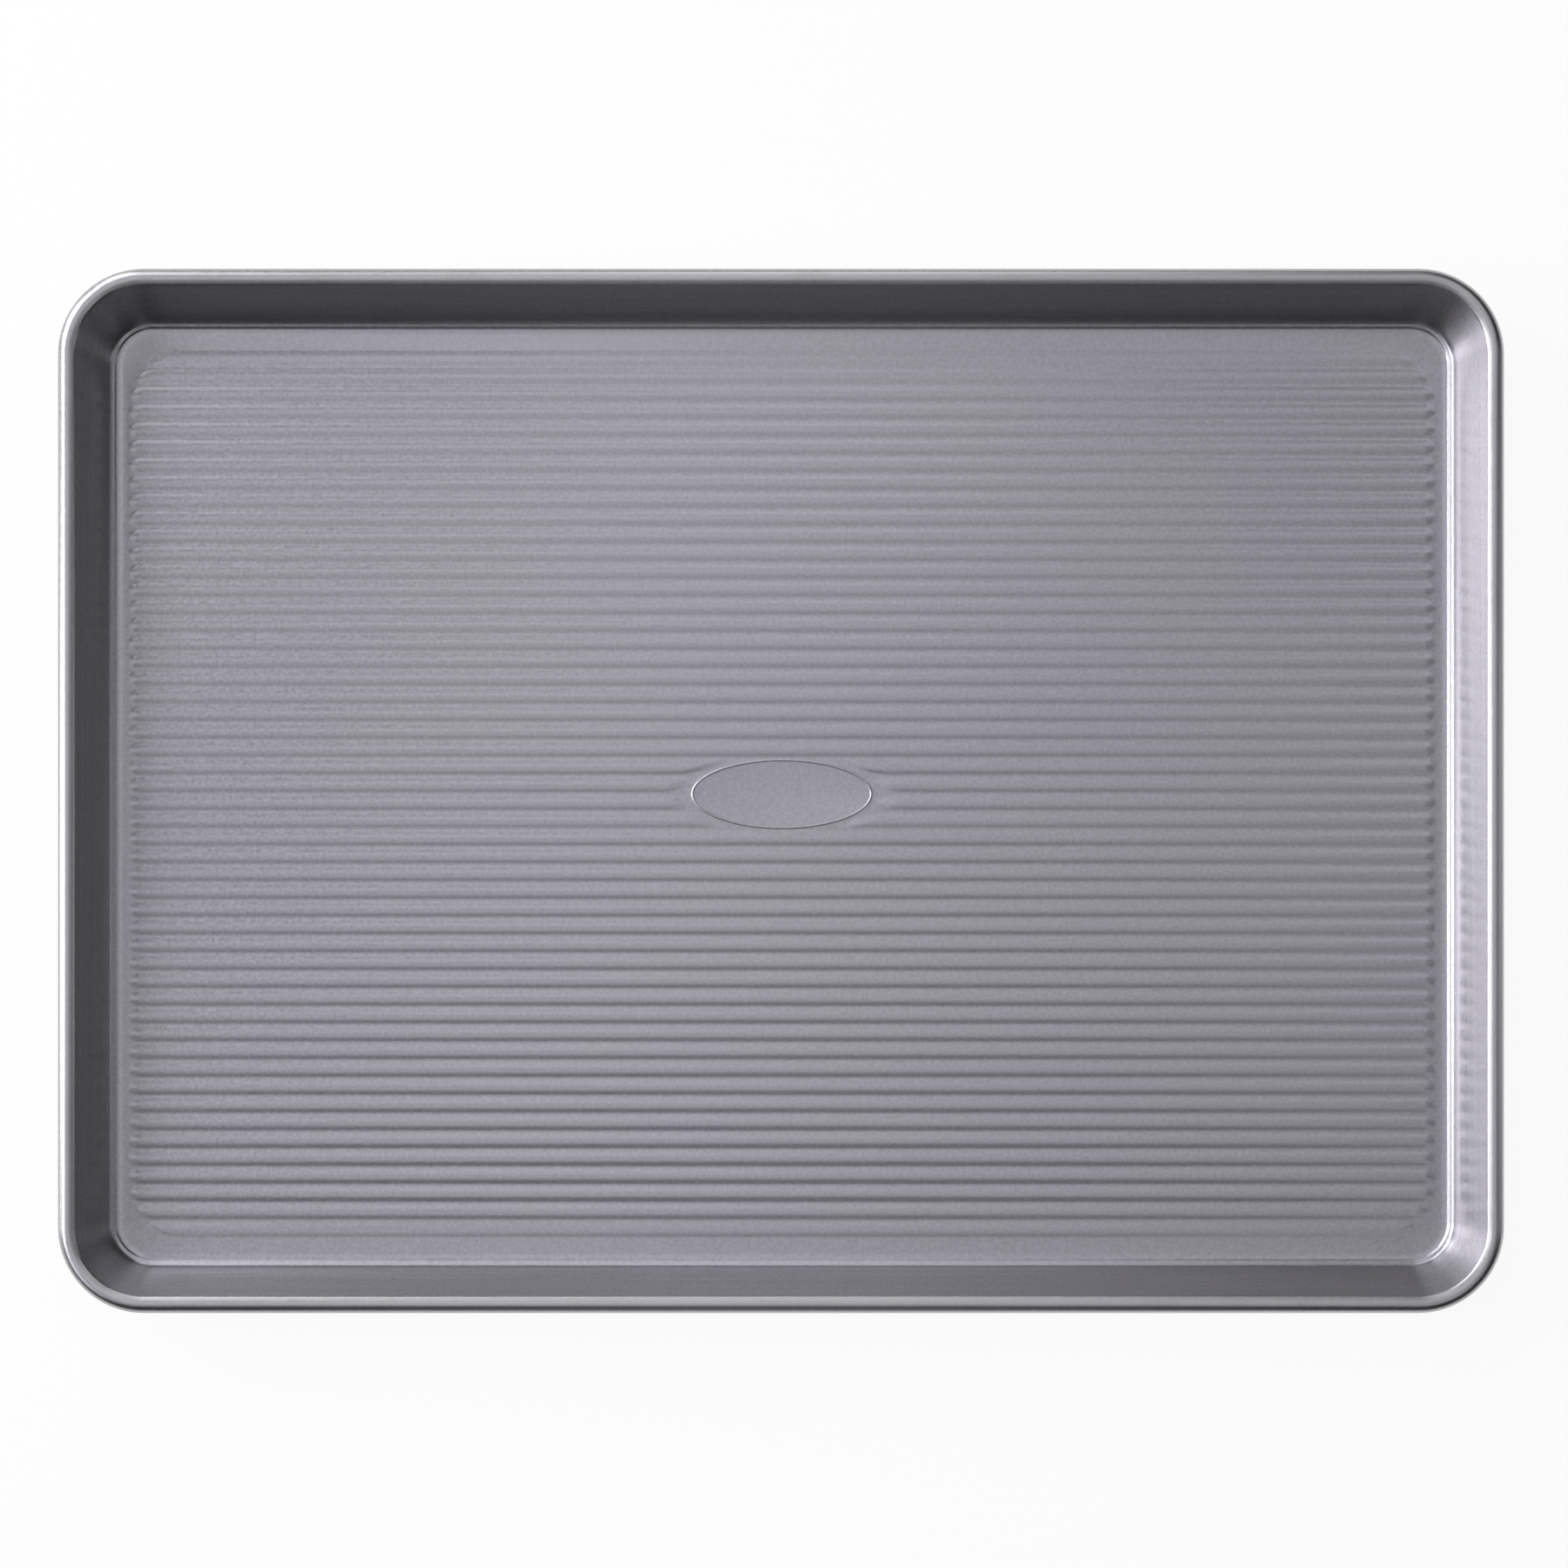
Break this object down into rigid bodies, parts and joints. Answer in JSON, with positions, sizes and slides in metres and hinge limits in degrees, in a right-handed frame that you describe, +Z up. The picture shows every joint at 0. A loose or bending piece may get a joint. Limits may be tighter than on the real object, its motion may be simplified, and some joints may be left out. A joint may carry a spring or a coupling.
{
  "type": "cookie sheet",
  "caption": "Rimmed metal cookie sheet with a ridged floor, flared walls, rounded corners and a rim rolled round a wire.",
  "frame": {"origin": "middle of the plane that the pan rests on", "axes": "+X along the long sides, +Y across the pan, +Z up out of the open side"},
  "size_m": [0.4572, 0.3302, 0.0254],
  "materials": {
    "aluminized_steel": "satin grey coated sheet steel, finely mottled",
    "rim_wire_steel": "plain drawn steel wire"
  },
  "bodies": {
    "root": {"pan_sheet": "aluminized_steel", "rim_wire": "rim_wire_steel"}
  },
  "joints": []
}
